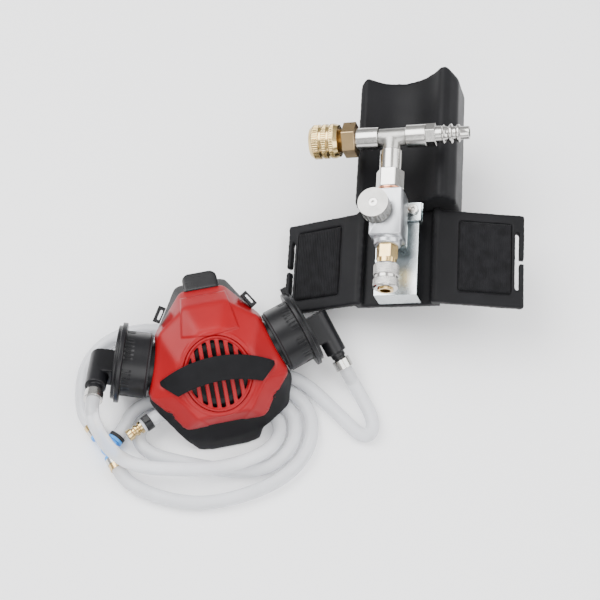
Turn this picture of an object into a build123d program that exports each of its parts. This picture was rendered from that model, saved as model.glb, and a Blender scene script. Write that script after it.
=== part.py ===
"""Air-fed painter's half mask, its three hoses, and the belt unit that feeds them with air.

The mask lies front up on its chin and its two cap rims. The belt unit lies on its back beside it.
Lengths are in millimetres. +X is the mask's left to right, +Z is up, and the table is at Z = 0.
"""

import math
import os

from build123d import *

os.makedirs("parts", exist_ok=True)

# Where the two items lie on the table, and how they lean
MASK_X, MASK_Y, GRILLE_HEIGHT = -78.3, -92.9, 54.5
MASK_TILT = 28.0
BELT_X, BELT_Y, BELT_Z = 144.5, 37.0, 50.8
BELT_YAW, BELT_PITCH, BELT_ROLL = -15.5, 9.0, -15.0

# Mask: shell, rubber and grille
SHELL_WALL, RUBBER_WALL = 2.5, 3.0
GRILLE_RX, GRILLE_RY, GRILLE_RIM = 25.2, 28.1, 2.7
SLOT_PITCH, SLOT_WIDTH, SLOT_COUNT = 6.4, 3.3, 7
FLAP_RADIUS, FLAP_THICK = 19.0, 1.2

# Side canisters, measured outwards along each canister's axis from the shell's side
CAN_RADIUS, CAN_WALL, CAN_START, CAN_END = 24.8, 2.2, 1.5, 20.5
CAP_RADIUS, CAP_END = 30.75, 27.0
SPIGOT_RADIUS = 18.9
PORT_AXIAL, PORT_RADIUS, PORT_START, PORT_END = 37.9, 8.0, -5.0, 29.4
STUB_END, FERRULE_START, FERRULE_END = 33.4, 35.0, 43.0
PORT_TURN = {"right": 90.0, "left": -42.0}

# Hoses
HOSE_RADIUS = 5.25
FERRULE_RADIUS = 7.0

# Belt unit
HIP_HALF, HIP_LOW, HIP_HIGH = 33.0, -4.0, 74.0
WING_LENGTH, WING_BEND, WING_THICK = 66.0, 18.0, 6.0
LINE_Z = 42.0
TEE_X, TEE_Y, TEE_RADIUS, LEG_RADIUS, SLEEVE_RADIUS = 1.5, 115.5, 7.0, 6.8, 8.7
BLOCK_SIZE, BLOCK_LOW, BLOCK_HIGH = 24.0, 31.0, 68.5
KNOB_X, KNOB_Y, KNOB_RADIUS, KNOB_LOW, KNOB_HIGH = -5.0, 51.0, 11.5, 55.0, 68.0
RUNNING = 0.05

UPRIGHT = (Align.CENTER, Align.CENTER, Align.MIN)


# ---------------------------------------------------------------- frames and small helpers
def on(frame, origin=(0, 0, 0), x_dir=(1, 0, 0), z_dir=(0, 0, 1)):
    """A workplane given in the coordinates of another frame."""
    return Plane(frame.location * Plane(origin=origin, x_dir=x_dir, z_dir=z_dir).location)


def turned_frame(origin, *turns):
    """A frame at origin, turned by each (x, y, z) set of degrees in order."""
    place = Location(origin)
    for turn in turns:
        place = place * Location((0, 0, 0), turn)
    return Plane(place)


def rod(frame, radius, low, high, mode=Mode.ADD):
    """A round bar along a frame's Z axis."""
    with Locations(on(frame, (0, 0, low)).location):
        Cylinder(radius, high - low, align=UPRIGHT, mode=mode)


def ring(frame, inner, outer, low, high):
    """A round tube along a frame's Z axis."""
    rod(frame, outer, low, high)
    rod(frame, inner, low - 1, high + 1, mode=Mode.SUBTRACT)


def slab(frame, x_range, y_range, z_range, mode=Mode.ADD):
    """A box between two corners of a frame."""
    middle = [(span[0] + span[1]) / 2 for span in (x_range, y_range, z_range)]
    size = [span[1] - span[0] for span in (x_range, y_range, z_range)]
    with Locations(on(frame, middle).location):
        Box(*size, mode=mode)


def hexagon(frame, across, low, high, mode=Mode.ADD):
    """A hexagonal bar along a frame's Z axis."""
    with BuildSketch(on(frame, (0, 0, low))) as section:
        RegularPolygon(across / 2, 6, major_radius=False)
    extrude(section.sketch, amount=high - low, mode=mode)


def turn(frame, outline, mode=Mode.ADD):
    """A turned piece: (radius, height) points revolved about a frame's Z axis."""
    half = on(frame, x_dir=(1, 0, 0), z_dir=(0, -1, 0))
    with BuildSketch(half) as section:
        with BuildLine():
            Polyline(*outline, close=True)
        make_face()
    revolve(section.sketch, axis=Axis(frame.origin, frame.z_dir), mode=mode)


def both_sides(points):
    """A closed outline from the points of its right half, mirrored in X."""
    return list(points) + [(-x, y) for x, y in reversed(points)]


def section(plane, points, radius, inset=0.0):
    """A face inside a closed outline, drawn in by inset, with its corners rounded."""
    with BuildSketch(plane) as face:
        with BuildLine():
            Polyline(*points, close=True)
        make_face()
        if inset:
            offset(amount=-inset, kind=Kind.INTERSECTION, mode=Mode.REPLACE)
        fillet(face.vertices(), radius)
    return face.sketch


def keep(name, piece):
    """Label a finished piece and write it."""
    piece.part.label = name
    export_step(piece.part, f"parts/{name}.step")


TABLE = Plane(origin=(MASK_X, MASK_Y, 0))
MASK = turned_frame((MASK_X, MASK_Y, GRILLE_HEIGHT), (MASK_TILT, 0, 0))
BELT = turned_frame(
    (MASK_X + BELT_X, MASK_Y + BELT_Y, BELT_Z),
    (0, 0, BELT_YAW), (BELT_PITCH, 0, 0), (0, BELT_ROLL, 0),
)
SIDES = {"right": 1, "left": -1}

# ---------------------------------------------------------------- face piece and shell
# Right halves of the outlines, from the nose down to the chin, at three depths each
SHELL_RINGS = (
    (0.0, ((10, 33), (29, 12), (32, -8), (20, -31)), 4.0),
    (-14.0, ((16, 52), (38, 37), (53, -9), (30, -38.5)), 5.0),
    (-38.0, ((17, 66), (41, 38), (56, -8), (33, -47)), 6.0),
)
RUBBER_RINGS = (
    (-12.0, ((13, 46), (34, 34), (48, -10), (38, -24), (26, -34), (10, -35)), 5.0),
    (-21.0, ((14, 53), (36, 35), (52, -12), (46, -32), (31, -46), (12, -50)), 6.0),
    (-32.0, ((16, 61), (38, 36), (57, -14), (52, -38), (34, -55), (14, -60)), 8.0),
    (-76.0, ((22, 76), (43, 42), (61, -12), (54, -42), (36, -58), (16, -63)), 8.0),
)


def ring_loft(rings, inset=0.0, drop=0.0):
    """A loft through the outlines of a list of rings."""
    faces = [
        section(on(MASK, (0, 0, depth - drop)), both_sides(points), radius, inset)
        for depth, points, radius in rings
    ]
    loft(faces, ruled=True)


# The rim rests on the table at the chin only, and rises to the cheeks and the nose
NOSE_LINE = (
    (-70, -90), (-70, 0), (-31, 0), (-22, 9), (-10, 15), (30, 22), (96, 34), (140, 42), (140, -90),
)
CHEEK_LINES = (
    ((24, -90), (24, 0), (28, 12), (62, 13), (90, 24), (90, -90)),
    ((-24, -90), (-24, 0), (-34, 13), (-45, 24), (-90, 24), (-90, -90)),
)

with BuildPart() as rim_cut:
    side_view = on(TABLE, (-90, 0, 0), x_dir=(0, 1, 0), z_dir=(1, 0, 0))
    with BuildSketch(side_view):
        with BuildLine():
            Polyline(*NOSE_LINE, close=True)
        make_face()
    extrude(amount=180)
    front_view = on(TABLE, (0, 140, 0), z_dir=(0, -1, 0))
    for line in CHEEK_LINES:
        with BuildSketch(front_view):
            with BuildLine():
                Polyline(*line, close=True)
            make_face()
        extrude(amount=210)

CAN = {
    side: on(MASK, (sign * 49.1, 13.3, -37), x_dir=(0, 0, 1), z_dir=(sign * 0.951, 0.309, 0))
    for side, sign in SIDES.items()
}

with BuildPart() as rubber_block:
    ring_loft(RUBBER_RINGS)
    add(rim_cut.part, mode=Mode.SUBTRACT)

with BuildPart() as rubber_hollow:
    ring_loft(RUBBER_RINGS, inset=RUBBER_WALL, drop=RUBBER_WALL)

with BuildPart() as face_piece:
    add(rubber_block.part)
    add(rubber_hollow.part, mode=Mode.SUBTRACT)
    rod(MASK, 20.0, -20, -8, mode=Mode.SUBTRACT)
    for frame in CAN.values():
        rod(frame, SPIGOT_RADIUS + 0.1, -16, 6, mode=Mode.SUBTRACT)
keep("face_piece", face_piece)

with BuildPart() as shell_block:
    ring_loft(SHELL_RINGS)
with BuildPart() as shell_hollow:
    ring_loft(SHELL_RINGS, inset=SHELL_WALL, drop=SHELL_WALL)

# The band's arch, seen from above the chin, and its crescent plan
with BuildPart() as cover_band:
    with BuildSketch(on(MASK, (0, -30, 0), z_dir=(0, -1, 0))):
        with BuildLine():
            ThreePointArc((-40, -3), (0, 9.5), (40, -3))
            Line((40, -3), (44, -9.5))
            Line((44, -9.5), (41.8, -10.8))
            Line((41.8, -10.8), (38.2, -5.2))
            ThreePointArc((38.2, -5.2), (0, 7.0), (-38.2, -5.2))
            Line((-38.2, -5.2), (-41.8, -10.8))
            Line((-41.8, -10.8), (-44, -9.5))
            Line((-44, -9.5), (-40, -3))
        make_face()
    extrude(amount=-60)
    with BuildSketch(on(MASK, (0, 0, -20))):
        with BuildLine():
            ThreePointArc((-43.5, 1.5), (0, 13.4), (43.5, 1.5))
            Line((43.5, 1.5), (43.5, -1.5))
            Line((43.5, -1.5), (31.8, -11.4))
            ThreePointArc((31.8, -11.4), (0, -5.2), (-31.8, -11.4))
            Line((-31.8, -11.4), (-43.5, -1.5))
            Line((-43.5, -1.5), (-43.5, 1.5))
        make_face()
    extrude(amount=50, mode=Mode.INTERSECT)
keep("cover_band", cover_band)

with BuildPart() as exhalation_grille:
    with BuildSketch(on(MASK, (0, 0, -3))):
        Ellipse(GRILLE_RX, GRILLE_RY)
        with BuildSketch(mode=Mode.SUBTRACT):
            with GridLocations(SLOT_PITCH, 1, SLOT_COUNT, 1):
                Rectangle(SLOT_WIDTH, 2 * GRILLE_RY)
            Ellipse(GRILLE_RX - GRILLE_RIM, GRILLE_RY - GRILLE_RIM, mode=Mode.INTERSECT)
    extrude(amount=3.4)
    with BuildSketch(on(MASK, (0, 0, 0.4))):
        Ellipse(GRILLE_RX, GRILLE_RY)
        Ellipse(GRILLE_RX - 1.6, GRILLE_RY - 1.6, mode=Mode.SUBTRACT)
    extrude(amount=0.9)
    add(cover_band.part, mode=Mode.SUBTRACT)
keep("exhalation_grille", exhalation_grille)

# The shell leaves the chin bare: it is cut off under a slanting line
with BuildPart() as face_shell:
    add(shell_block.part)
    add(shell_hollow.part, mode=Mode.SUBTRACT)
    with BuildSketch(on(MASK, (-80, 0, 0), x_dir=(0, 1, 0), z_dir=(1, 0, 0))):
        with BuildLine():
            Polyline((-70, -15.5), (-37, -15.5), (-14, -36), (-14, -60), (-70, -60), close=True)
        make_face()
    extrude(amount=160, mode=Mode.SUBTRACT)
    add(rim_cut.part, mode=Mode.SUBTRACT)
    add(rubber_block.part, mode=Mode.SUBTRACT)
    with BuildSketch(on(MASK, (0, 0, -6))):
        Ellipse(GRILLE_RX, GRILLE_RY)
    extrude(amount=12, mode=Mode.SUBTRACT)
    add(cover_band.part, mode=Mode.SUBTRACT)
    for frame in CAN.values():
        rod(frame, SPIGOT_RADIUS + 0.1, -20, 8, mode=Mode.SUBTRACT)
keep("face_shell", face_shell)

with BuildPart() as nose_clip:
    clip_frame = on(MASK, (0, 64, -42), x_dir=(1, 0, 0), z_dir=(0, 0.5, 0.866))
    with BuildSketch(on(clip_frame, (0, 0, -9))):
        RectangleRounded(27, 24, 6)
    extrude(amount=16)
    add(shell_block.part, mode=Mode.SUBTRACT)
    add(rubber_block.part, mode=Mode.SUBTRACT)
keep("nose_clip", nose_clip)

with BuildPart() as strap_anchors:
    for sign in SIDES.values():
        anchor = on(MASK, (sign * 34.5, 50.5, -31), x_dir=(sign * 0.545, -0.838, 0))
        slab(anchor, (-6.5, 6.5), (-3.5, 2.2), (-5, 5))
        slab(anchor, (-4, 4), (-1.0, 1.0), (-8, 8), mode=Mode.SUBTRACT)
    add(shell_block.part, mode=Mode.SUBTRACT)
    add(rubber_block.part, mode=Mode.SUBTRACT)
keep("strap_anchors", strap_anchors)

with BuildPart() as valve_seat:
    rod(MASK, 23.0, -11.9, -9.5)
    with Locations(on(MASK, (0, 0, -12)).location):
        with PolarLocations(11.5, 6):
            Cylinder(4.6, 3, align=UPRIGHT, mode=Mode.SUBTRACT)
keep("valve_seat", valve_seat)

with BuildPart() as exhalation_flap:
    rod(MASK, FLAP_RADIUS, -9.2, -9.2 + FLAP_THICK)
keep("exhalation_flap", exhalation_flap)

# ---------------------------------------------------------------- side canisters and ports
PORT = {}
for side, frame in CAN.items():
    with BuildPart() as gasket:
        ring(frame, SPIGOT_RADIUS + 0.1, CAN_RADIUS - 0.8, 0.2, CAN_START)
        add(shell_block.part, mode=Mode.SUBTRACT)
    keep(f"{side}_gasket", gasket)

    with BuildPart() as canister:
        rod(frame, CAN_RADIUS, CAN_START, CAN_END)
        rod(frame, SPIGOT_RADIUS, -7, CAN_START)
        rod(frame, CAN_RADIUS - CAN_WALL, CAN_START + 2, CAN_END + 1, mode=Mode.SUBTRACT)
        rod(frame, SPIGOT_RADIUS - 1.6, -8, 0.5, mode=Mode.SUBTRACT)
        with Locations(on(frame, (0, 0, -1)).location):
            with PolarLocations(9, 6):
                Cylinder(3.6, 6, align=UPRIGHT, mode=Mode.SUBTRACT)
    keep(f"{side}_canister", canister)

    with BuildPart() as flap:
        rod(frame, 15.0, -1.0, 0.2)
    keep(f"{side}_inhalation_flap", flap)

    with BuildPart() as baffle:
        rod(frame, CAN_RADIUS - CAN_WALL - 0.3, 7, 15)
    keep(f"{side}_baffle", baffle)

    with BuildPart() as cap:
        rod(frame, CAP_RADIUS, CAN_END, CAN_END + 3.6)
        rod(frame, CAP_RADIUS - 2.6, CAN_END + 3.6, CAP_END)
        ring(frame, CAN_RADIUS - CAN_WALL - 2.6, CAN_RADIUS - CAN_WALL - 0.1, CAN_END - 4, CAN_END)
        rod(frame, 3.0, CAN_END - 5, CAP_END + 1, mode=Mode.SUBTRACT)
        if side == "right":
            slab(frame, (-3, 3), (-CAP_RADIUS - 4, -CAP_RADIUS + 4), (CAN_END + 1.6, CAP_END))
    keep(f"{side}_cap", cap)

    angle = math.radians(PORT_TURN[side])
    along = (math.cos(angle), math.sin(angle), 0)
    PORT[side] = on(frame, (0, 0, PORT_AXIAL), x_dir=(0, 0, 1), z_dir=along)
    with BuildPart() as port:
        rod(PORT[side], PORT_RADIUS, PORT_START, PORT_END)
        slab(PORT[side], (CAP_END - PORT_AXIAL, 0), (-PORT_RADIUS, PORT_RADIUS), (PORT_START, 18))
        rod(PORT[side], 5.6, PORT_END, STUB_END)
        rod(PORT[side], 3.0, 0, STUB_END + 1, mode=Mode.SUBTRACT)
        rod(frame, 3.0, CAP_END - 1, PORT_AXIAL, mode=Mode.SUBTRACT)
    keep(f"{side}_port", port)

    with BuildPart() as barb:
        rod(PORT[side], 3.0, 20, FERRULE_END)
        rod(PORT[side], 4.6, STUB_END, FERRULE_START)
        rod(PORT[side], 1.8, 19, FERRULE_END + 1, mode=Mode.SUBTRACT)
    keep(f"{side}_barb", barb)

    with BuildPart() as ferrule:
        ring(PORT[side], 3.0, FERRULE_RADIUS, FERRULE_START, FERRULE_END)
    keep(f"{side}_ferrule", ferrule)

# ---------------------------------------------------------------- splitter and supply nipple
SPLIT = on(TABLE, (-91, -22, 6.6))
SPLIT_LEGS = {  # direction of each leg on the table, and where its blue body ends
    "upper": ((-0.448, 0.894, 0), 14.5),
    "lower": ((0.27, -0.963, 0), 9.0),
    "side": ((0.707, 0.707, 0), 9.0),
}
LEG = {
    name: (on(SPLIT, x_dir=(0, 0, 1), z_dir=direction), end)
    for name, (direction, end) in SPLIT_LEGS.items()
}
SPLIT_RADIUS = {"upper": 4.6, "lower": 4.3, "side": 4.0}
LEG_FERRULE = 9.5
SIDE_RING = 3.0

with BuildPart() as hose_splitter:
    with Locations(SPLIT.location):
        Sphere(6.0)
    for name, (frame, end) in LEG.items():
        rod(frame, SPLIT_RADIUS[name], 0, end - 1)
        rod(frame, 6.2, end - 2, end)
keep("hose_splitter", hose_splitter)

with BuildPart() as splitter_ferrules:
    for name in ("upper", "lower"):
        frame, end = LEG[name]
        rod(frame, 6.3, end, end + LEG_FERRULE / 2)
keep("splitter_ferrules", splitter_ferrules)

with BuildPart() as splitter_nuts:
    for name in ("upper", "lower"):
        frame, end = LEG[name]
        rod(frame, 5.9, end + LEG_FERRULE / 2, end + LEG_FERRULE)
keep("splitter_nuts", splitter_nuts)

with BuildPart() as splitter_ring:
    frame, end = LEG["side"]
    rod(frame, 6.4, end, end + SIDE_RING)
keep("splitter_ring", splitter_ring)

NIPPLE = on(TABLE, (-74.7, -19.2, 15.6), x_dir=(0, 0, 1), z_dir=(0.907, 0.417, 0.061))
NIPPLE_LENGTH = 13.0
with BuildPart() as supply_nipple:
    turn(NIPPLE, (
        (2.2, 0), (4.2, 0), (4.5, 0.5), (4.5, 4), (3.4, 4.6), (3.4, 6.4), (4.5, 7), (4.5, 8.6),
        (3.6, 9.2), (3.6, 10.2), (5.0, 10.8), (5.0, NIPPLE_LENGTH), (2.2, NIPPLE_LENGTH),
    ))
keep("supply_nipple", supply_nipple)

with BuildPart() as ear_clamp:
    ring(NIPPLE, HOSE_RADIUS + 0.02, HOSE_RADIUS + 0.9, NIPPLE_LENGTH + 2, NIPPLE_LENGTH + 8)
    slab(
        NIPPLE, (HOSE_RADIUS + 0.6, HOSE_RADIUS + 3.2), (-2.2, 2.2),
        (NIPPLE_LENGTH + 2.6, NIPPLE_LENGTH + 7.4),
    )
keep("ear_clamp", ear_clamp)


# ---------------------------------------------------------------- hoses
def row_point(frame, height):
    """A point on a frame's Z axis."""
    return on(frame, (0, 0, height)).origin


def table_points(points):
    """Route points given beside the mask, with the table's height as zero."""
    return [Vector(MASK_X + x, MASK_Y + y, z) for x, y, z in points]


LIE = 5.3    # height of a hose's middle when it lies on the table
OVER = 16.4  # and where it passes over another hose

LEFT_ROUTE = table_points((
    (-93.5, -24, 45), (-89, -33, 32), (-79, -41, 21), (-65, -47, OVER),
    (-47, -52, OVER), (-27, -56.5, OVER), (-7, -58.5, OVER), (13, -56.5, OVER), (29, -49.5, 11.5),
    (38.5, -38, 6.2), (40.5, -26.5, LIE), (35, -18.5, LIE), (21.5, -15.6, LIE), (2, -13.2, LIE),
    (-18, -8.5, LIE),
    (-38, -3, LIE), (-53, -2, LIE), (-64, -9, LIE), (-68.5, -19.5, LIE), (-63, -30, LIE),
    (-51, -38, LIE), (-34, -46, LIE), (-15, -54, LIE), (4, -60.5, LIE), (22, -62, LIE),
    (37.5, -56, LIE), (47.5, -46, LIE), (52, -33, LIE), (51.5, -21, LIE), (45, -11.5, LIE),
    (32, -4.5, LIE), (16, 2, LIE), (-4, 7.5, LIE), (-25, 10.5, LIE), (-45, 10.5, LIE),
    (-60, 9, LIE), (-71, 2.5, LIE),
))
RIGHT_ROUTE = table_points((
    (107, -21, LIE), (110.5, -35, LIE), (110, -46, LIE), (104.5, -52.5, LIE),
    (97, -48.5, LIE), (90, -36.5, LIE), (81, -22, LIE), (72.5, -8, LIE), (62.5, 4.5, LIE),
    (48.5, 13, LIE), (33, 22, LIE), (15, 31.5, LIE), (0, 42.5, LIE), (-14, 55, LIE), (-29, 66.5, LIE),
    (-48, 73, LIE), (-68, 72.5, LIE), (-86, 65, LIE), (-98, 52, LIE), (-104, 36, LIE),
    (-106, 22, LIE),
))
SUPPLY_ROUTE = table_points((
    (-68, -62.5, LIE), (-51, -72, LIE), (-32, -78.5, LIE), (-12, -80.5, LIE),
    (10, -78.5, LIE), (32, -73, LIE), (50, -62, LIE), (61, -47, LIE), (65, -31.5, LIE),
    (63.5, -19, LIE), (57.5, -7.5, LIE), (46.5, 1, LIE), (31, 9.5, 7.5), (14, 15, 14), (-5, 12, 17.0),
    (-26, 1.5, 17.5),
))


def hose(name, start, route, finish):
    """A hose from one fitting to another through the points of a route."""
    points = [start, *route, finish]
    radii = []
    for before, corner, after in zip(points, points[1:], points[2:]):
        turn_angle = math.radians((corner - before).get_angle(after - corner))
        shorter = min((corner - before).length, (after - corner).length)
        radii.append(0.45 * shorter / math.tan(turn_angle / 2))
    with BuildPart() as piece:
        with BuildLine() as path:
            FilletPolyline(*points, radius=radii)
        mouth = Plane(origin=path.line @ 0, z_dir=path.line % 0)
        with BuildSketch(mouth):
            Circle(HOSE_RADIUS)
        sweep()
    length = path.wires()[0].length
    expected = math.pi * HOSE_RADIUS**2 * length
    print(name, "length", round(length), "volume ratio", round(piece.part.volume / expected, 4))
    print(name, "radii", [round(radius) for radius in radii])
    print(name, "ends", [tuple(round(c, 1) for c in point) for point in (*points[:2], *points[-2:])])
    keep(name, piece)


side_frame, side_end = LEG["side"]
upper_frame, upper_end = LEG["upper"]
lower_frame, lower_end = LEG["lower"]
hose(
    "left_hose", row_point(PORT["left"], FERRULE_END),
    [
        row_point(PORT["left"], FERRULE_END + 14), *LEFT_ROUTE,
        row_point(side_frame, side_end + SIDE_RING + 8),
    ],
    row_point(side_frame, side_end + SIDE_RING),
)
hose(
    "right_hose", row_point(PORT["right"], FERRULE_END),
    [
        row_point(PORT["right"], FERRULE_END + 12), *RIGHT_ROUTE,
        row_point(upper_frame, upper_end + LEG_FERRULE + 9),
    ],
    row_point(upper_frame, upper_end + LEG_FERRULE),
)
hose(
    "supply_hose", row_point(lower_frame, lower_end + LEG_FERRULE),
    [
        row_point(lower_frame, lower_end + LEG_FERRULE + 10), *SUPPLY_ROUTE,
        row_point(NIPPLE, NIPPLE_LENGTH + 19),
    ],
    row_point(NIPPLE, NIPPLE_LENGTH),
)

# ---------------------------------------------------------------- belt unit: pads
WING = {
    side: on(
        BELT, (sign * HIP_HALF, 0, 0),
        x_dir=(math.cos(math.radians(WING_BEND)) * sign, 0, -math.sin(math.radians(WING_BEND))),
        z_dir=(math.sin(math.radians(WING_BEND)) * sign, 0, math.cos(math.radians(WING_BEND))),
    )
    for side, sign in SIDES.items()
}
PAD_IN, PAD_OUT, PAD_LOW, PAD_HIGH = 15.0, 56.0, 6.0, 64.0


def wing_y(side, low, high):
    """The left wing's own Y axis points down, so its spans change sign."""
    return (low, high) if SIDES[side] > 0 else (-high, -low)


with BuildPart() as hip_plate:
    slab(BELT, (-HIP_HALF, HIP_HALF), (HIP_LOW, HIP_HIGH), (-12, 0))
    slab(BELT, (-27, 27), (HIP_LOW - 1, HIP_HIGH + 1), (-6, 1), mode=Mode.SUBTRACT)
    for side, frame in WING.items():
        slab(frame, (-2, WING_LENGTH), wing_y(side, HIP_LOW, HIP_HIGH - 2), (-WING_THICK, 0))
        slab(frame, (PAD_IN, PAD_OUT), wing_y(side, PAD_LOW, PAD_HIGH), (-3, 1), mode=Mode.SUBTRACT)
        slab(frame, (WING_LENGTH - 7, WING_LENGTH + 1), wing_y(side, 32, 35), (-9, 1), mode=Mode.SUBTRACT)
        slab(frame, (59, 62), wing_y(side, 10, 57.5), (-9, 1), mode=Mode.SUBTRACT)
keep("hip_plate", hip_plate)

for side, frame in WING.items():
    with BuildPart() as rib_pad:
        slab(frame, (PAD_IN + 0.3, PAD_OUT - 0.3), wing_y(side, PAD_LOW + 0.3, PAD_HIGH - 0.3), (-3, -0.2))
        for index in range(13):
            start = PAD_IN + 1.8 + 2.95 * index
            slab(frame, (start, start + 1.5), wing_y(side, PAD_LOW + 1, PAD_HIGH - 1), (-0.2, 1.0))
    keep(f"{side}_rib_pad", rib_pad)

with BuildPart() as upright_pad:
    with BuildSketch(on(BELT, (0, 74.3, 0), z_dir=(0, -1, 0))):
        with BuildLine():
            Line((-33, -25), (46, -25))
            Line((46, -25), (46, 8))
            Line((46, 8), (40, 18))
            ThreePointArc((40, 18), (36, 20), (31, 18))
            ThreePointArc((31, 18), (2, 5), (-27, 15))
            Line((-27, 15), (-33, 12))
            Line((-33, 12), (-33, -25))
        make_face()
    extrude(amount=-113.5)
    with BuildSketch(on(BELT, (0, 0, -30))):
        with BuildLine():
            Polyline((-33, 60), (46, 60), (46, 181), (37, 187.5), (20, 184), (2, 182.5), (-14, 183),
                     (-28, 185), (-33, 180), close=True)
        make_face()
    extrude(amount=60, mode=Mode.INTERSECT)
    slab(BELT, (-26, 30), (4, 74.3), (-25, -12.3))
keep("upright_pad", upright_pad)

with BuildPart() as back_cushion:
    ends = []
    for height, depth, rounding in ((12, -47, 10), (160, -70, 16)):
        plane = on(BELT, (0, height, 0), z_dir=(0, -1, 0))
        ends.append(section(plane, ((-22, -25.4), (40, -25.4), (40, depth), (-22, depth)), rounding))
    loft(ends, ruled=True)
keep("back_cushion", back_cushion)

# ---------------------------------------------------------------- belt unit: bracket
BACK = (12.5, 14.0)  # front and back of the bracket's sheet
with BuildPart() as bracket:
    slab(BELT, (-14, 19), (-3, 56), BACK)
    slab(BELT, (-14, 19), (-3, -1.5), (-5.9, BACK[0]))
    slab(BELT, (-11, -9), (-1.5, 56), (-5.9, BACK[0]))
    slab(BELT, (14, 16), (-1.5, 56), (-5.9, BACK[0]))
    slab(BELT, (-9, 10), (36, 54), (BACK[1], LINE_Z - BLOCK_SIZE / 2))
keep("bracket", bracket)

with BuildPart() as bracket_tab:
    slab(BELT, (-8, 21), (56.3, 71), (16, 17.5))
    slab(BELT, (-8, 21), (56.3, 57.8), (10, 16))
    slab(BELT, (-8, 21), (56.3, 73.5), (8.5, 10))
    rod(on(BELT, (15, 64.7, 0)), 2.2, 15, 19, mode=Mode.SUBTRACT)
    rod(on(BELT, (15, 64.7, 0)), 2.2, 8, 11, mode=Mode.SUBTRACT)
keep("bracket_tab", bracket_tab)

with BuildPart() as bracket_screw:
    screw = on(BELT, (15, 64.7, 0))
    rod(screw, 2.1, 7.5, 17.6)
    rod(screw, 4.0, 17.6, 20.4)
    hexagon(screw, 3.0, 19, 21, mode=Mode.SUBTRACT)
keep("bracket_screw", bracket_screw)

# ---------------------------------------------------------------- belt unit: air line
ACROSS = on(BELT, (TEE_X, TEE_Y, LINE_Z), x_dir=(0, 0, 1), z_dir=(1, 0, 0))  # towards the right
DOWN = on(BELT, (TEE_X, 0, LINE_Z), x_dir=(1, 0, 0), z_dir=(0, 1, 0))        # its Z is the belt's Y
BORE = 4.0

with BuildPart() as tee_fitting:
    rod(ACROSS, TEE_RADIUS, -10, 11.5)
    rod(DOWN, LEG_RADIUS, 103, TEE_Y)
    rod(ACROSS, BORE, -11, 12.5, mode=Mode.SUBTRACT)
    rod(DOWN, BORE - 0.3, 102, TEE_Y, mode=Mode.SUBTRACT)
keep("tee_fitting", tee_fitting)

with BuildPart() as tee_sleeves:
    ring(ACROSS, BORE, SLEEVE_RADIUS, -27.5, -10)
    ring(ACROSS, BORE, SLEEVE_RADIUS, 11.5, 26.8)
    ring(DOWN, BORE, SLEEVE_RADIUS, 86.4, 103)
keep("tee_sleeves", tee_sleeves)

with BuildPart() as air_plug:
    hexagon(ACROSS, 15.4, 26.8, 34.0)
    turn(ACROSS, (
        (0, 34), (6.6, 34), (6.6, 39), (7.4, 40), (6.2, 41), (5.6, 43.5), (7.5, 45), (7.5, 46.2),
        (5.6, 47.2), (5.6, 49.5), (6.9, 50.6), (6.9, 51.8), (5.0, 52.8), (5.0, 59.5), (0, 59.5),
    ))
    rod(ACROSS, 3.4, 26, 61, mode=Mode.SUBTRACT)
keep("air_plug", air_plug)

CORE_RADIUS, COUPLER_RADIUS = 9.0, 13.4
with BuildPart() as coupler_body:
    hexagon(ACROSS, 24.0, -37.5, -27.5)
    rod(ACROSS, CORE_RADIUS, -62.5, -37.5)
    rod(ACROSS, 5.05, -64, -48, mode=Mode.SUBTRACT)
    rod(ACROSS, 5.7, -48.4, -40, mode=Mode.SUBTRACT)
    rod(ACROSS, BORE, -41, -26, mode=Mode.SUBTRACT)
keep("coupler_body", coupler_body)

with BuildPart() as coupler_sleeve:
    turn(ACROSS, (
        (CORE_RADIUS + RUNNING, -63.8), (11.6, -63.8), (COUPLER_RADIUS, -61), (COUPLER_RADIUS, -56),
        (12.7, -55.4), (12.7, -54.2), (COUPLER_RADIUS, -53.6), (COUPLER_RADIUS, -50), (12.7, -49.4),
        (12.7, -48.2), (COUPLER_RADIUS, -47.6), (COUPLER_RADIUS, -44), (12.4, -41.2),
        (CORE_RADIUS + RUNNING, -41.2),
    ))
keep("coupler_sleeve", coupler_sleeve)

with BuildPart() as coupler_poppet:
    rod(ACROSS, 5.5, -48, -44)
    rod(ACROSS, 2.0, -44, -41)
keep("coupler_poppet", coupler_poppet)

with BuildPart() as hex_nut:
    hexagon(DOWN, 19.0, 71.6, 86.4)
    rod(DOWN, BORE, 70, 88, mode=Mode.SUBTRACT)
keep("hex_nut", hex_nut)

with BuildPart() as copper_washers:
    for low in (68.5, 70.2):
        ring(DOWN, BORE, 9.6, low, low + 1.4)
keep("copper_washers", copper_washers)

VALVE = on(BELT, (KNOB_X, KNOB_Y, 0))
BLOCK_FRONT = LINE_Z + BLOCK_SIZE / 2
with BuildPart() as valve_block:
    half = BLOCK_SIZE / 2
    slab(DOWN, (-half, half), (-half, half), (BLOCK_LOW, BLOCK_HIGH))
    chamfer(valve_block.edges(), 0.8)
    rod(DOWN, BORE, BLOCK_LOW - 1, BLOCK_HIGH + 1, mode=Mode.SUBTRACT)
    rod(VALVE, 4.0 + RUNNING, LINE_Z, BLOCK_FRONT + 1, mode=Mode.SUBTRACT)
keep("valve_block", valve_block)

with BuildPart() as valve_spindle:
    rod(VALVE, 4.0, LINE_Z + 5, KNOB_LOW)
keep("valve_spindle", valve_spindle)

with BuildPart() as flow_knob:
    rod(VALVE, KNOB_RADIUS, KNOB_LOW, KNOB_HIGH)
    with Locations(on(VALVE, (0, 0, KNOB_LOW + 1)).location):
        with PolarLocations(KNOB_RADIUS + 0.4, 20):
            Cylinder(1.1, KNOB_HIGH - KNOB_LOW - 2.5, align=UPRIGHT, mode=Mode.SUBTRACT)
    rod(VALVE, 3.2, KNOB_HIGH - 2, KNOB_HIGH + 1, mode=Mode.SUBTRACT)
keep("flow_knob", flow_knob)

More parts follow.
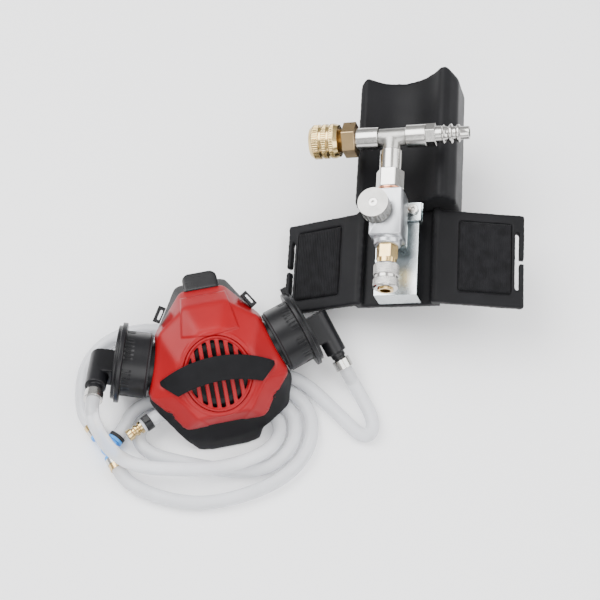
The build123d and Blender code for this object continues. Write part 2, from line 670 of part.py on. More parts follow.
with BuildPart() as knob_screw:
    rod(VALVE, 3.1, KNOB_HIGH - 2, KNOB_HIGH - 0.3)
    hexagon(VALVE, 2.5, KNOB_HIGH - 1.5, KNOB_HIGH, mode=Mode.SUBTRACT)
keep("knob_screw", knob_screw)

with BuildPart() as outlet_collar:
    turn(DOWN, (
        (BORE, 25.6), (9.2, 25.6), (10.2, 26.6), (10.2, 29.4), (11.2, BLOCK_LOW), (BORE, BLOCK_LOW),
    ))
keep("outlet_collar", outlet_collar)

with BuildPart() as outlet_body:
    hexagon(DOWN, 14.2, 15.3, 25.6)
    rod(DOWN, 7.4, 11.4, 15.3)
    rod(DOWN, 6.0, -9.5, 11.4)
    rod(DOWN, BORE, -11, 27, mode=Mode.SUBTRACT)
    rod(DOWN, 4.8, 1.6, 10, mode=Mode.SUBTRACT)
keep("outlet_body", outlet_body)

with BuildPart() as outlet_sleeve:
    turn(DOWN, (
        (6.0 + RUNNING, -8.2), (8.6, -8.2), (9.5, -7), (9.5, -1), (8.8, -0.4), (8.8, 1.4), (9.5, 2),
        (9.5, 10), (9.0, 11), (7.7, 11), (7.7, 7), (6.0 + RUNNING, 7),
    ))
keep("outlet_sleeve", outlet_sleeve)

with BuildPart() as outlet_poppet:
    rod(DOWN, 4.6, 2, 6)
keep("outlet_poppet", outlet_poppet)
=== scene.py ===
"""Looks for the air-fed painter's half mask, its hoses and its belt unit.

Everything is in metres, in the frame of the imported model. Sizes inside a helper's own frame are in
millimetres, because that frame's matrix carries the scale.
"""

import math

import bmesh
import bpy
from mathutils import Matrix, Vector, noise


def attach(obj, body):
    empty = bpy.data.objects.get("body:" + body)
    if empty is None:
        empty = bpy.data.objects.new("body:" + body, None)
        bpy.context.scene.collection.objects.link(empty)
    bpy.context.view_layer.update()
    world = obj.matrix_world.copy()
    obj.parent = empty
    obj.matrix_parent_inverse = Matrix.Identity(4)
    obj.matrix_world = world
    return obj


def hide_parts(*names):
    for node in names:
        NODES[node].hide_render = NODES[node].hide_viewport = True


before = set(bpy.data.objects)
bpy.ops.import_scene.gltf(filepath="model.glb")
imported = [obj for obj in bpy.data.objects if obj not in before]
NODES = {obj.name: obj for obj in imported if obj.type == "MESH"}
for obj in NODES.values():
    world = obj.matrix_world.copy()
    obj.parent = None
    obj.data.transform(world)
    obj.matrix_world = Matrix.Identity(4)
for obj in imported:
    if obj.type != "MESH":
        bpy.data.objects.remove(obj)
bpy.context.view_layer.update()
SIDES = {"right": 1, "left": -1}


# ---------------------------------------------------------------- frames
def placed(origin, *turns):
    """A frame in millimetres at a point of the row frame, turned by (degrees, axis) in order."""
    place = Matrix.Translation([c / 1000 for c in origin])
    for degrees, axis in turns:
        place = place @ Matrix.Rotation(math.radians(degrees), 4, axis)
    return place @ Matrix.Scale(0.001, 4)


def inside(parent, origin, x_dir, z_dir):
    """A frame given by an origin and two directions of another frame."""
    z = Vector(z_dir).normalized()
    x = Vector(x_dir)
    x = (x - z * x.dot(z)).normalized()
    y = z.cross(x)
    local = Matrix((x, y, z)).transposed().to_4x4()
    return parent @ Matrix.Translation(origin) @ local


MASK_X, MASK_Y = -78.3, -92.9
MASK = placed((MASK_X, MASK_Y, 54.5), (28, "X"))
BELT = placed((MASK_X + 144.5, MASK_Y + 37.0, 50.8), (-15.5, "Z"), (9, "X"), (-15, "Y"))
CAN = {
    side: inside(MASK, (sign * 49.1, 13.3, -37), (0, 0, 1), (sign * 0.951, 0.309, 0))
    for side, sign in SIDES.items()
}
WING_FOLD = math.radians(18)
PORT_TURN = {"right": 90.0, "left": -42.0}
PORT = {
    side: inside(
        CAN[side], (0, 0, 37.9), (0, 0, 1),
        (math.cos(math.radians(turn)), math.sin(math.radians(turn)), 0),
    )
    for side, turn in PORT_TURN.items()
}
WING = {
    side: inside(
        BELT, (sign * 33.0, 0, 0),
        (math.cos(WING_FOLD) * sign, 0, -math.sin(WING_FOLD)),
        (math.sin(WING_FOLD) * sign, 0, math.cos(WING_FOLD)),
    )
    for side, sign in SIDES.items()
}
ACROSS = inside(BELT, (1.5, 115.5, 42), (0, 0, 1), (1, 0, 0))
DOWN = inside(BELT, (1.5, 0, 42), (1, 0, 0), (0, 1, 0))


# ---------------------------------------------------------------- materials
MOTTLE_BAND = 0.32, 0.68
WORN_FROM, WORN_TO = 0.53, 0.62
ROUGH_SPREAD = 0.07
GRAIN_DEPTH = 0.0004


def material(name, colour, rough, metal=0.0, grain=(900, 0.05), mottle=(40, 0.12), stretch=(1, 1, 1),
             wear=0.0, wear_colour=(0.5, 0.5, 0.5), **extra):
    """A finish with mottled colour, varied roughness, fine grain and optional wear on its edges."""
    made = bpy.data.materials.new(name)
    made.use_nodes = True
    tree = made.node_tree
    shader = tree.nodes["Principled BSDF"]
    make, link = tree.nodes.new, tree.links.new
    place = make("ShaderNodeTexCoord")
    mapping = make("ShaderNodeMapping")
    mapping.inputs["Scale"].default_value = stretch
    link(place.outputs["Object"], mapping.inputs["Vector"])

    def cloud(scale, detail):
        node = make("ShaderNodeTexNoise")
        node.inputs["Scale"].default_value = scale
        node.inputs["Detail"].default_value = detail
        link(mapping.outputs["Vector"], node.inputs["Vector"])
        return node.outputs["Fac"]

    ramp = make("ShaderNodeValToRGB")
    low, high = ramp.color_ramp.elements
    low.position, high.position = MOTTLE_BAND
    low.color = (*[c * (1 - mottle[1]) for c in colour], 1)
    high.color = (*[min(1.0, c * (1 + mottle[1])) for c in colour], 1)
    link(cloud(mottle[0], 4.0), ramp.inputs["Fac"])
    tone = ramp.outputs["Color"]
    if wear:
        edges = make("ShaderNodeNewGeometry")
        pick = make("ShaderNodeMapRange")
        pick.inputs["From Min"].default_value = WORN_FROM
        pick.inputs["From Max"].default_value = WORN_TO
        pick.inputs["To Max"].default_value = wear
        link(edges.outputs["Pointiness"], pick.inputs["Value"])
        mix = make("ShaderNodeMix")
        mix.data_type = "RGBA"
        link(pick.outputs["Result"], mix.inputs["Factor"])
        link(tone, mix.inputs["A"])
        mix.inputs["B"].default_value = (*wear_colour, 1)
        tone = mix.outputs["Result"]
    link(tone, shader.inputs["Base Color"])
    spread = make("ShaderNodeMapRange")
    spread.inputs["To Min"].default_value = max(0.02, rough - ROUGH_SPREAD)
    spread.inputs["To Max"].default_value = min(1.0, rough + ROUGH_SPREAD)
    link(cloud(mottle[0] * 3, 3.0), spread.inputs["Value"])
    link(spread.outputs["Result"], shader.inputs["Roughness"])
    bump = make("ShaderNodeBump")
    bump.inputs["Strength"].default_value = grain[1]
    bump.inputs["Distance"].default_value = GRAIN_DEPTH
    link(cloud(grain[0], 2.0), bump.inputs["Height"])
    link(bump.outputs["Normal"], shader.inputs["Normal"])
    shader.inputs["Metallic"].default_value = metal
    for socket, value in extra.items():
        shader.inputs[socket.replace("_", " ")].default_value = value
    return made


BLACK = (0.007, 0.007, 0.008)
LOOK = {
    "red_plastic": material("red_plastic", (0.235, 0.003, 0.006), 0.38, grain=(1500, 0.06),
                            mottle=(25, 0.10), wear=0.25, wear_colour=(0.42, 0.03, 0.03),
                            Specular_IOR_Level=0.2),
    "black_rubber": material("black_rubber", BLACK, 0.48, grain=(1200, 0.10), mottle=(30, 0.25),
                             wear=0.5, wear_colour=(0.03, 0.03, 0.032), Specular_IOR_Level=0.13),
    "black_plastic": material("black_plastic", (0.006, 0.006, 0.007), 0.33, grain=(1400, 0.06),
                              mottle=(35, 0.2), wear=0.5, wear_colour=(0.03, 0.03, 0.032),
                              Specular_IOR_Level=0.22),
    "band_plastic": material("band_plastic", (0.006, 0.006, 0.007), 0.6, grain=(2200, 0.22),
                             mottle=(60, 0.2), Specular_IOR_Level=0.1),
    "gloss_plastic": material("gloss_plastic", (0.007, 0.007, 0.008), 0.2, grain=(700, 0.02),
                              mottle=(30, 0.2), Specular_IOR_Level=0.25),
    "valve_rubber": material("valve_rubber", (0.012, 0.012, 0.012), 0.55, Specular_IOR_Level=0.2),
    "filter_foam": material("filter_foam", (0.10, 0.10, 0.10), 0.9, grain=(2500, 0.6)),
    "hose": material("milky_hose", (0.86, 0.87, 0.90), 0.22, grain=(300, 0.03), mottle=(60, 0.03),
                     Transmission_Weight=0.5, IOR=1.36),
    "blue_plastic": material("blue_plastic", (0.03, 0.30, 0.78), 0.3, mottle=(60, 0.1)),
    "brass": material("brass", (0.60, 0.42, 0.18), 0.24, 1.0, grain=(500, 0.05), mottle=(90, 0.14),
                      wear=0.4, wear_colour=(0.80, 0.62, 0.34)),
    "pale_brass": material("pale_brass", (0.62, 0.46, 0.21), 0.2, 1.0, grain=(500, 0.05),
                           mottle=(120, 0.12), wear=0.5, wear_colour=(0.82, 0.68, 0.42)),
    "dark_brass": material("dark_brass", (0.27, 0.18, 0.085), 0.3, 1.0, grain=(600, 0.08),
                           mottle=(90, 0.2), wear=0.5, wear_colour=(0.55, 0.40, 0.22)),
    "nickel": material("nickel", (0.48, 0.47, 0.45), 0.2, 1.0, grain=(500, 0.06), mottle=(80, 0.08),
                       wear=0.3, wear_colour=(0.9, 0.89, 0.86)),
    "cast_nickel": material("cast_nickel", (0.32, 0.315, 0.30), 0.34, 1.0, grain=(900, 0.25),
                            mottle=(120, 0.12)),
    "copper": material("copper", (0.72, 0.33, 0.20), 0.3, 1.0, mottle=(90, 0.2)),
    "anodised": material("anodised", (0.46, 0.47, 0.49), 0.36, 1.0, grain=(1200, 0.08),
                         mottle=(60, 0.05), stretch=(1, 0.15, 1)),
    "zinc": material("zinc", (0.42, 0.47, 0.48), 0.26, 1.0, grain=(350, 0.05), mottle=(55, 0.16),
                     wear=0.3, wear_colour=(0.85, 0.88, 0.9)),
    "black_pad": material("black_pad", (0.006, 0.006, 0.007), 0.5, grain=(1600, 0.22), mottle=(22, 0.25),
                          Sheen_Weight=0.03, Sheen_Roughness=0.5, Specular_IOR_Level=0.12),
    "ribbed_pad": material("ribbed_pad", (0.008, 0.008, 0.009), 0.78, grain=(3200, 0.6),
                           mottle=(160, 0.3),
                           Sheen_Weight=0.05, Sheen_Roughness=0.4, Specular_IOR_Level=0.1),
    "cushion_cloth": material("cushion_cloth", (0.016, 0.016, 0.018), 0.85, grain=(2600, 0.7),
                              mottle=(60, 0.3), Sheen_Weight=0.3, Sheen_Roughness=0.5),
}


def wear_look(obj, look):
    """Replace a piece's materials with one of the finishes."""
    obj.data.materials.clear()
    obj.data.materials.append(LOOK[look])


# ---------------------------------------------------------------- making pieces
def new_object(name, mesh):
    obj = bpy.data.objects.new(name, mesh)
    bpy.context.scene.collection.objects.link(obj)
    return obj


def applied(obj):
    """The object with its modifiers applied."""
    bpy.context.view_layer.update()
    graph = bpy.context.evaluated_depsgraph_get()
    mesh = bpy.data.meshes.new_from_object(obj.evaluated_get(graph))
    obj.modifiers.clear()
    obj.data = mesh
    return obj


def shade(obj, degrees=None):
    obj.data.shade_smooth()
    if degrees is not None:
        obj.data.set_sharp_from_angle(angle=math.radians(degrees))
    return obj


def settle(obj, body, slot, look, *nodes):
    """Give a piece its look and body, and hide the CAD nodes it stands for. Its slot is not used."""
    wear_look(obj, look)
    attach(obj, body)
    if nodes:
        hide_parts(*nodes)
    return obj


def copied(node, name):
    """A copy of a CAD node's mesh, with its double points merged."""
    obj = new_object(name, NODES[node].data.copy())
    shape = bmesh.new()
    shape.from_mesh(obj.data)
    bmesh.ops.remove_doubles(shape, verts=shape.verts, dist=1e-6)
    shape.to_mesh(obj.data)
    shape.free()
    return obj


def moulded(node, name, voxel, rounds, body, slot, look, moves=(), share=None):
    """A CAD node as a moulded piece: remeshed finely, its edges rounded, then moved by functions.

    share(x, y), in the mask's own millimetres, says how much of the rounding a point takes.
    """
    obj = copied(node, name)
    remesh = obj.modifiers.new("remesh", "REMESH")
    remesh.mode, remesh.voxel_size = "VOXEL", voxel / 1000
    applied(obj)
    soften = obj.modifiers.new("soften", "SMOOTH")
    soften.factor, soften.iterations = 0.5, rounds
    if share:
        group = obj.vertex_groups.new(name="share")
        back = MASK.inverted()
        for vertex in obj.data.vertices:
            local = back @ vertex.co
            group.add([vertex.index], share(local.x, local.y), "REPLACE")
        soften.vertex_group = "share"
    applied(obj)
    for space, move in moves:
        displace(obj, space, move)
    shade(obj)
    return settle(obj, body, slot, look, node)


def displace(obj, space, move):
    """Move each point along its normal by move(x, y, z, normal) millimetres, in a frame's own mm."""
    mesh = obj.data
    back = space.inverted()
    turn = back.to_3x3()
    offsets = []
    for vertex in mesh.vertices:
        local = back @ vertex.co
        normal = (turn @ vertex.normal).normalized()
        offsets.append(vertex.normal * (move(local.x, local.y, local.z, normal) / 1000))
    for vertex, offset in zip(mesh.vertices, offsets):
        vertex.co += offset
    mesh.update()


def bevelled(node, name, width, body, slot, look, limit=28):
    """A CAD node as a machined piece with broken edges."""
    obj = copied(node, name)
    shape = bmesh.new()
    shape.from_mesh(obj.data)
    bmesh.ops.dissolve_limit(
        shape, angle_limit=math.radians(1.0), verts=shape.verts, edges=shape.edges)
    shape.to_mesh(obj.data)
    shape.free()
    edge = obj.modifiers.new("edge", "BEVEL")
    edge.width, edge.segments = width / 1000, 1
    edge.limit_method, edge.angle_limit = "ANGLE", math.radians(limit)
    applied(obj)
    shade(obj, 24)
    return settle(obj, body, slot, look, node)


def lathe(space, name, profile, segments, body, slot, look, *nodes, radial=None, close=True, sharp=40):
    """A turned piece from (radius, height) points, with an optional change of radius round it."""
    rows = len(profile)
    points = []
    for radius, height in profile:
        for step in range(segments):
            angle = 2 * math.pi * step / segments
            r = radius + (radial(angle, height, radius) if radial else 0)
            points.append(space @ Vector((r * math.cos(angle), r * math.sin(angle), height)))
    faces = []
    for row in range(rows if close else rows - 1):
        after = (row + 1) % rows
        for step in range(segments):
            across = (step + 1) % segments
            faces.append((row * segments + step, row * segments + across,
                          after * segments + across, after * segments + step))
    mesh = bpy.data.meshes.new(name)
    mesh.from_pydata(points, [], faces)
    mesh.validate()
    obj = new_object(name, mesh)
    shape = bmesh.new()
    shape.from_mesh(mesh)
    bmesh.ops.recalc_face_normals(shape, faces=shape.faces)
    shape.to_mesh(mesh)
    shape.free()
    shade(obj, sharp)
    return settle(obj, body, slot, look, *nodes)


def stepped(outline, pitch):
    """A profile's points with more between them, so that its surface can carry relief."""
    points = []
    for (r0, h0), (r1, h1) in zip(outline, outline[1:] + outline[:1]):
        count = max(1, round(math.hypot(r1 - r0, h1 - h0) / pitch))
        points += [(r0 + (r1 - r0) * i / count, h0 + (h1 - h0) * i / count) for i in range(count)]
    return points


def ease(value, low, high):
    t = min(1.0, max(0.0, (value - low) / (high - low)))
    return t * t * (3 - 2 * t)


def depth_in(x, y, outline):
    """How far a point is inside a convex outline given anticlockwise. It is negative outside."""
    return min(
        ((bx - ax) * (y - ay) - (by - ay) * (x - ax)) / math.hypot(bx - ax, by - ay)
        for (ax, ay), (bx, by) in zip(outline, outline[1:] + outline[:1])
    )


# ---------------------------------------------------------------- camera
camera_data = bpy.data.cameras.new("camera")
camera_data.lens, camera_data.sensor_width = 78.0, 36.0
camera = new_object("camera", camera_data)
RIGHT, UP, AHEAD = (0.979, -0.2045, 0.0), (0.1806, 0.8643, 0.469), (0.096, 0.4596, -0.883)
turned = Matrix((RIGHT, UP, [-c for c in AHEAD])).transposed().to_4x4()
stand = (MASK_X - 23.1) / 1000, (MASK_Y - 407.6) / 1000, 0.9305
camera.matrix_world = Matrix.Translation(stand) @ turned
bpy.context.scene.camera = camera

# ---------------------------------------------------------------- hoses
HOSE_DIAMETER = 0.0105
LIE, OVER = 5.3, 16.4


def beside_mask(points):
    return [(MASK_X + x, MASK_Y + y, z) for x, y, z in points]


LEFT_LINE = [(-172.3, -92.6, 48.9), (-175.2, -105.4, 53.9), *beside_mask((
    (-93.5, -24, 45), (-89, -33, 32), (-79, -41, 21), (-65, -47, OVER),
    (-47, -52, OVER), (-27, -56.5, OVER), (-7, -58.5, OVER), (13, -56.5, OVER), (29, -49.5, 11.5),
    (38.5, -38, 6.2), (40.5, -26.5, LIE), (35, -18.5, LIE), (21.5, -15.6, LIE), (2, -13.2, LIE),
    (-18, -8.5, LIE),
    (-38, -3, LIE), (-53, -2, LIE), (-64, -9, LIE), (-68.5, -19.5, LIE), (-63, -30, LIE),
    (-51, -38, LIE), (-34, -46, LIE), (-15, -54, LIE), (4, -60.5, LIE), (22, -62, LIE),
    (37.5, -56, LIE), (47.5, -46, LIE), (52, -33, LIE), (51.5, -21, LIE), (45, -11.5, LIE),
    (32, -4.5, LIE), (16, 2, LIE), (-4, 7.5, LIE), (-25, 10.5, LIE), (-45, 10.5, LIE),
    (-60, 9, LIE), (-71, 2.5, LIE),
)), (-155.2, -100.8, 6.6), (-160.8, -106.4, 6.6)]
RIGHT_LINE = [(20.1, -89.6, 14.4), (23.8, -99.6, 9.0), *beside_mask((
    (107, -21, LIE), (110.5, -35, LIE), (110, -46, LIE), (104.5, -52.5, LIE),
    (97, -48.5, LIE), (90, -36.5, LIE), (81, -22, LIE), (72.5, -8, LIE), (62.5, 4.5, LIE),
    (48.5, 13, LIE), (33, 22, LIE), (15, 31.5, LIE), (0, 42.5, LIE), (-14, 55, LIE), (-29, 66.5, LIE),
    (-48, 73, LIE), (-68, 72.5, LIE), (-86, 65, LIE), (-98, 52, LIE), (-104, 36, LIE),
    (-106, 22, LIE),
)), (-184.1, -85.4, 6.6), (-180.1, -93.4, 6.6)]
SUPPLY_LINE = [(-164.3, -132.7, 6.6), (-161.6, -142.3, 6.6), *beside_mask((
    (-68, -62.5, LIE), (-51, -72, LIE), (-32, -78.5, LIE), (-12, -80.5, LIE),
    (10, -78.5, LIE), (32, -73, LIE), (50, -62, LIE), (61, -47, LIE), (65, -31.5, LIE),
    (63.5, -19, LIE), (57.5, -7.5, LIE), (46.5, 1, LIE), (31, 9.5, 7.5), (14, 15, 14), (-5, 12, 17.0),
    (-26, 1.5, 17.5),
)), (-124.0, -98.8, 17.6), (-141.2, -106.7, 16.4)]


def hose(name, line):
    curve = bpy.data.curves.new(name, "CURVE")
    curve.dimensions = "3D"
    curve.bevel_depth, curve.bevel_resolution = HOSE_DIAMETER / 2, 7
    curve.resolution_u = 10
    spline = curve.splines.new("NURBS")
    spline.points.add(len(line) - 1)
    for point, (x, y, z) in zip(spline.points, line):
        point.co = (x / 1000, y / 1000, z / 1000, 1)
    spline.order_u = 3
    spline.use_endpoint_u = True
    obj = new_object(name + "_tube", curve)
    curve.materials.append(LOOK["hose"])
    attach(obj, "mask")
    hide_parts(name)
    return obj


hose("left_hose", LEFT_LINE)
hose("right_hose", RIGHT_LINE)
nipple = bevelled("supply_nipple", "supply_nipple_turned", 0.2, "mask", "brass", "pale_brass")
hose("supply_hose", SUPPLY_LINE)

# ---------------------------------------------------------------- mask: shell, rubber and grille
PANEL = [(-22, 30.5), (0, 28.2), (22, 30.5), (17.5, 60), (-17.5, 60)]


def shell_relief(x, y, z, normal):
    """The raised panel over the grille, the lip along the sides and the steps at the lower corners."""
    if normal.z < 0.15:
        return 0.0
    lift = 0.9 * ease(depth_in(x, y, PANEL), -0.2, 1.3)
    corner = abs(x) * 0.79 - y * 0.62
    lift += 0.5 * ease(corner, 33.0, 34.2) * ease(-8 - y, 0.0, 2.0)
    around = math.hypot(x / 27.6, y / 30.5)
    lift += 0.5 * ease(1.06 - around, 0.0, 0.03) * ease(around, 0.92, 0.95)
    return lift


def off_the_grille(x, y):
    """No rounding at the grille's seat, and all of it away from there."""
    return 0.04 + 0.96 * ease(math.hypot(x / 25.2, y / 28.1), 1.04, 1.3)


moulded("face_shell", "shell_moulding", 0.75, 80, "mask", "red_plastic", "red_plastic",
        [(MASK, shell_relief)], off_the_grille)
moulded("exhalation_grille", "grille_moulding", 0.45, 2, "mask", "red_plastic", "red_plastic")
moulded("face_piece", "face_piece_rubber", 1.0, 40, "mask", "black_rubber", "black_rubber")
moulded("cover_band", "cover_band_moulding", 0.5, 3, "mask", "black_plastic", "band_plastic")
moulded("nose_clip", "nose_clip_moulding", 0.6, 8, "mask", "black_rubber", "gloss_plastic")
moulded("strap_anchors", "strap_anchor_loops", 0.45, 3, "mask", "black_plastic", "black_plastic")

# ---------------------------------------------------------------- mask: canisters, caps and ports
for side in SIDES:
    def ribs(angle, height, radius):
        """Short grooves beside the cap, in groups round the canister, and two long mould lines."""
        if radius < 24:
            return 0.0
        turn_degrees = math.degrees(angle) % 360
        group = (turn_degrees % 60) / 60
        pitch = (turn_degrees % 7.5) / 7.5
        reach = 6.5
        groove = ease(abs(pitch - 0.5), 0.32, 0.22) if 0.15 < group < 0.85 else 0.0
        near_cap = ease(height, 20.2 - reach, 20.8 - reach) * ease(20.3 - height, 0, 0.3)
        seam = 0.25 * ease(abs((turn_degrees % 180) - 90), 1.2, 0.6)
        return -0.4 * groove * near_cap + seam

    outline = [(3, 0.5), (17.3, 0.5), (17.3, -7), (18.9, -7), (18.9, 1.5), (24.2, 1.5), (24.8, 2.1),
               (24.8, 20.4), (22.6, 20.4), (22.6, 3.5), (3, 3.5)]
    lathe(CAN[side], f"{side}_canister_ribbed", stepped(outline, 0.8), 720, "mask", "black_plastic",
          "black_plastic", f"{side}_canister", radial=ribs)
    moulded(f"{side}_cap", f"{side}_cap_moulding", 0.55, 3, "mask", "black_plastic", "black_plastic")
    moulded(f"{side}_port", f"{side}_port_moulding", 0.5, 6, "mask", "black_plastic", "black_plastic")
    bevelled(f"{side}_ferrule", f"{side}_ferrule_ring", 0.4, "mask", "nickel", "nickel")
    stem = stepped([(0.8, 43), (2.6, 43), (3.6, 44), (2.7, 47.5), (3.7, 48.5), (2.7, 52), (3.5, 53),
                    (2.2, 57), (0.8, 57)], 0.6)
    lathe(PORT[side], f"{side}_barb_stem", stem, 32, "mask", "black_plastic", "black_plastic")

# ---------------------------------------------------------------- belt unit: pads
PAD_IN, PAD_OUT, PAD_LOW, PAD_HIGH = 15.3, 55.7, 6.3, 63.7


def rounded(value, low, high, radius):
    """How much of its full height a crowned edge has, a distance from both ends."""
    near = min(value - low, high - value)
    if near >= radius:
        return 1.0
    return math.sqrt(max(0.0, 1 - (1 - near / radius) ** 2))


def ribbed_pad(side):
    """A woven pad: fine ribs along it, crowned towards its edges."""
    space, sign = WING[side], SIDES[side]
    across, along, pitch = 242, 48, 1.62
    points, faces = [], []
    for level in (0, 1):
        for j in range(along + 1):
            v = PAD_LOW + (PAD_HIGH - PAD_LOW) * j / along
            for i in range(across + 1):
                u = PAD_IN + (PAD_OUT - PAD_IN) * i / across
                crown = rounded(u, PAD_IN, PAD_OUT, 3.0) * rounded(v, PAD_LOW, PAD_HIGH, 3.0)
                ridge = 0.36 * abs(math.sin(math.pi * (u - PAD_IN) / pitch))
                stitch = 0.07 * math.sin(math.pi * v / 0.6 + math.pi * round((u - PAD_IN) / pitch))
                height = -2.8 if level == 0 else -1.6 + 2.2 * crown + ridge + stitch
                points.append(space @ Vector((u, v * sign, height)))
    row = across + 1
    count = row * (along + 1)
    for j in range(along):
        for i in range(across):
            a = j * row + i
            faces.append((a, a + row, a + row + 1, a + 1))
            faces.append((count + a, count + a + 1, count + a + row + 1, count + a + row))
    for i in range(across):
        for a, turned_side in ((i, False), (along * row + i, True)):
            quad = (a, a + 1, count + a + 1, count + a)
            faces.append(quad[::-1] if turned_side else quad)
    for j in range(along):
        for a, turned_side in ((j * row, True), (j * row + across, False)):
            quad = (a, a + row, count + a + row, count + a)
            faces.append(quad[::-1] if turned_side else quad)
    mesh = bpy.data.meshes.new(f"{side}_ribbed_pad")
    mesh.from_pydata(points, [], faces)
    obj = new_object(f"{side}_ribbed_pad", mesh)
    shape = bmesh.new()
    shape.from_mesh(mesh)
    bmesh.ops.recalc_face_normals(shape, faces=shape.faces)
    shape.to_mesh(mesh)
    shape.free()
    shade(obj, 60)
    return settle(obj, "belt_unit", "ribbed_pad", "ribbed_pad", f"{side}_rib_pad")


def swell(x, y, z, normal):
    """The soft unevenness of moulded foam."""
    return 0.25 * noise.noise(Vector((x, y, z)) / 17.0)


hip = moulded("hip_plate", "hip_pads_moulding", 1.1, 7, "belt_unit", "black_pad", "black_pad",
              [(BELT, swell)])
upright = moulded("upright_pad", "upright_pad_moulding", 1.3, 16, "belt_unit", "black_pad", "black_pad",
                  [(BELT, swell)])
for side in SIDES:
    ribbed_pad(side)


CUSHION_VOXEL, CUSHION_FRAMES, FLOOR_GAP = 0.0045, 20, 0.0004


def cloth_cushion(node, name, cap):
    """A cushion blown up by a short cloth simulation, each point held within cap millimetres."""
    obj = copied(node, name)
    remesh = obj.modifiers.new("remesh", "REMESH")
    remesh.mode, remesh.voxel_size = "VOXEL", CUSHION_VOXEL
    applied(obj)
    rest = [vertex.co.copy() for vertex in obj.data.vertices]
    cloth = obj.modifiers.new("cloth", "CLOTH")
    cloth.settings.use_pressure = True
    cloth.settings.uniform_pressure_force = 4.0
    cloth.settings.effector_weights.gravity = 0.0
    for step in range(1, CUSHION_FRAMES + 1):
        bpy.context.scene.frame_set(step)
    applied(obj)
    bpy.context.scene.frame_set(1)
    for vertex, start in zip(obj.data.vertices, rest):
        moved = vertex.co - start
        if moved.length > cap / 1000:
            vertex.co = start + moved.normalized() * cap / 1000
        vertex.co.z = max(vertex.co.z, FLOOR_GAP)
    smooth = obj.modifiers.new("smooth", "SMOOTH")
    smooth.factor, smooth.iterations = 0.5, 3
    finer = obj.modifiers.new("finer", "SUBSURF")
    finer.levels = finer.render_levels = 1
    applied(obj)
    shade(obj)
    return settle(obj, "belt_unit", "cushion_foam", "cushion_cloth", node)


cloth_cushion("back_cushion", "back_cushion_pad", 2.5)

# ---------------------------------------------------------------- belt unit: metal
MACHINED = {
    "tee_sleeves": ("nickel", 0.4), "air_plug": ("nickel", 0.25), "coupler_body": ("dark_brass", 0.5),
    "hex_nut": ("nickel", 0.5), "tee_fitting": ("cast_nickel", 0.5), "valve_block": ("anodised", 0.4),
    "outlet_collar": ("anodised", 0.2), "outlet_body": ("brass", 0.3), "bracket": ("zinc", 0.3),
    "bracket_tab": ("zinc", 0.3), "bracket_screw": ("nickel", 0.3), "copper_washers": ("copper", 0.2),
}
SLOTS = {"coupler_body": "brass", "outlet_body": "brass", "bracket": "zinc", "bracket_tab": "zinc",
         "copper_washers": "copper", "valve_block": "anodised", "outlet_collar": "anodised"}
for node, (look, width) in MACHINED.items():
    bevelled(node, f"{node}_machined", width, "belt_unit", SLOTS.get(node, "nickel"), look)
bevelled("flow_knob", "flow_knob_fluted", 0.25, "knob", "anodised", "cast_nickel")


def serrated(angle, height, radius):
    """Fine flutes along the brass sleeve's three bands."""
    band = any(low < height < high for low, high in ((-60.8, -56.2), (-53.4, -50.2), (-47.4, -44.2)))
    return -0.32 * max(0.0, math.sin(angle * 48)) if band and radius > 12 else 0.0


SLEEVE_OUTLINE = [
    (9.05, -63.6), (11.4, -63.8), (13.1, -61.4), (13.4, -60.9), (13.4, -56.1), (12.7, -55.5),
    (12.7, -54.1), (13.4, -53.5), (13.4, -50.1), (12.7, -49.5), (12.7, -48.1), (13.4, -47.5),
    (13.4, -44.1), (12.4, -41.2), (9.05, -41.2),
]
lathe(ACROSS, "coupler_sleeve_turned", stepped(SLEEVE_OUTLINE, 0.5), 384, "coupler_sleeve", "brass",
      "pale_brass", "coupler_sleeve", radial=serrated)


def knurled(angle, height, radius):
    """Crossed grooves on the outlet sleeve."""
    if radius < 9.3 or not (-6.8 < height < -1.2 or 2.2 < height < 9.8):
        return 0.0
    slant = height / 9.5
    return -0.28 * max(abs(math.sin((angle + slant) * 22)), abs(math.sin((angle - slant) * 22))) ** 3


OUTLET_OUTLINE = [
    (6.05, -8.2), (8.4, -8.2), (9.2, -7.5), (9.5, -7), (9.5, -1), (8.8, -0.5), (8.8, 1.5), (9.5, 2),
    (9.5, 10), (9.0, 11), (7.7, 11), (7.7, 7), (6.05, 7),
]
lathe(DOWN, "outlet_sleeve_knurled", stepped(OUTLET_OUTLINE, 0.28), 352, "outlet_sleeve", "nickel",
      "nickel", "outlet_sleeve", radial=knurled)

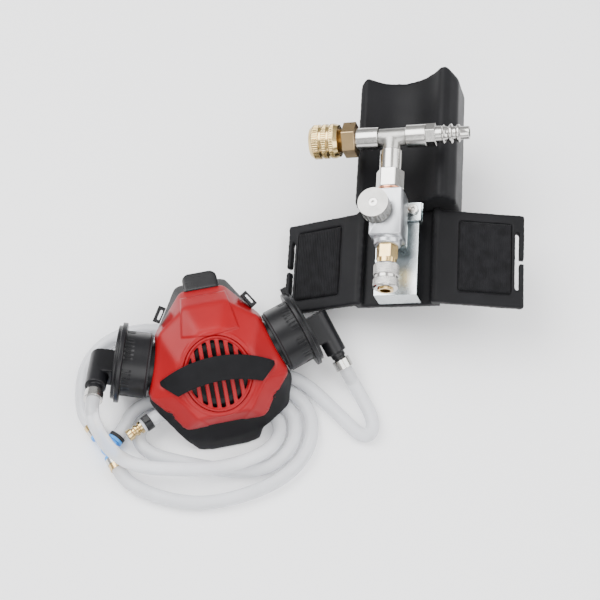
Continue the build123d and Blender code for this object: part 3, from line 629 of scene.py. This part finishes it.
# ---------------------------------------------------------------- looks for the CAD nodes kept
KEPT = {
    "valve_seat": "black_plastic", "exhalation_flap": "valve_rubber",
    "left_inhalation_flap": "valve_rubber", "right_inhalation_flap": "valve_rubber",
    "left_gasket": "black_rubber", "right_gasket": "black_rubber",
    "left_baffle": "filter_foam", "right_baffle": "filter_foam",
    "left_barb": "black_plastic", "right_barb": "black_plastic",
    "splitter_ferrules": "nickel", "splitter_nuts": "brass", "hose_splitter": "blue_plastic",
    "splitter_ring": "black_plastic", "ear_clamp": "black_plastic",
    "coupler_poppet": "brass", "outlet_poppet": "brass",
    "valve_spindle": "nickel", "knob_screw": "nickel",
}
for node, look in KEPT.items():
    wear_look(NODES[node], look)

# ---------------------------------------------------------------- floor and light
floor_mesh = bpy.data.meshes.new("floor")
floor_mesh.from_pydata([(-4, -4, 0), (4, -4, 0), (4, 4, 0), (-4, 4, 0)], [], [(0, 1, 2, 3)])
floor = new_object("floor", floor_mesh)
floor.location.z = -0.0003
floor_mesh.materials.append(
    material("floor", (0.93, 0.93, 0.94), 0.9, grain=(20, 0.0), mottle=(2, 0.005)))


def lamp(name, place, size, power, target=(0.0, 0.0, 0.03)):
    data = bpy.data.lights.new(name, "AREA")
    data.size, data.energy = size, power
    obj = new_object(name, data)
    obj.location = place
    obj.rotation_euler = (Vector(target) - Vector(place)).to_track_quat("-Z", "Y").to_euler()


lamp("key_light", (-0.7, 0.5, 1.3), 1.3, 42)
lamp("fill_light", (0.9, -0.3, 1.1), 1.2, 20)
lamp("front_light", (-0.2, -1.1, 0.9), 1.0, 15)
world = bpy.data.worlds.new("studio")
world.use_nodes = True
sky = world.node_tree
sky_place = sky.nodes.new("ShaderNodeTexCoord")
direction = sky.nodes.new("ShaderNodeSeparateXYZ")
sky.links.new(sky_place.outputs["Generated"], direction.inputs["Vector"])
brightness = sky.nodes.new("ShaderNodeMapRange")
brightness.inputs["From Min"].default_value = 0.05
brightness.inputs["From Max"].default_value = 0.75
brightness.inputs["To Min"].default_value = 0.45
brightness.inputs["To Max"].default_value = 0.95
sky.links.new(direction.outputs["Z"], brightness.inputs["Value"])
sky.links.new(brightness.outputs["Result"], sky.nodes["Background"].inputs["Strength"])
sky.nodes["Background"].inputs["Color"].default_value = (1.0, 1.0, 1.0, 1)
bpy.context.scene.world = world
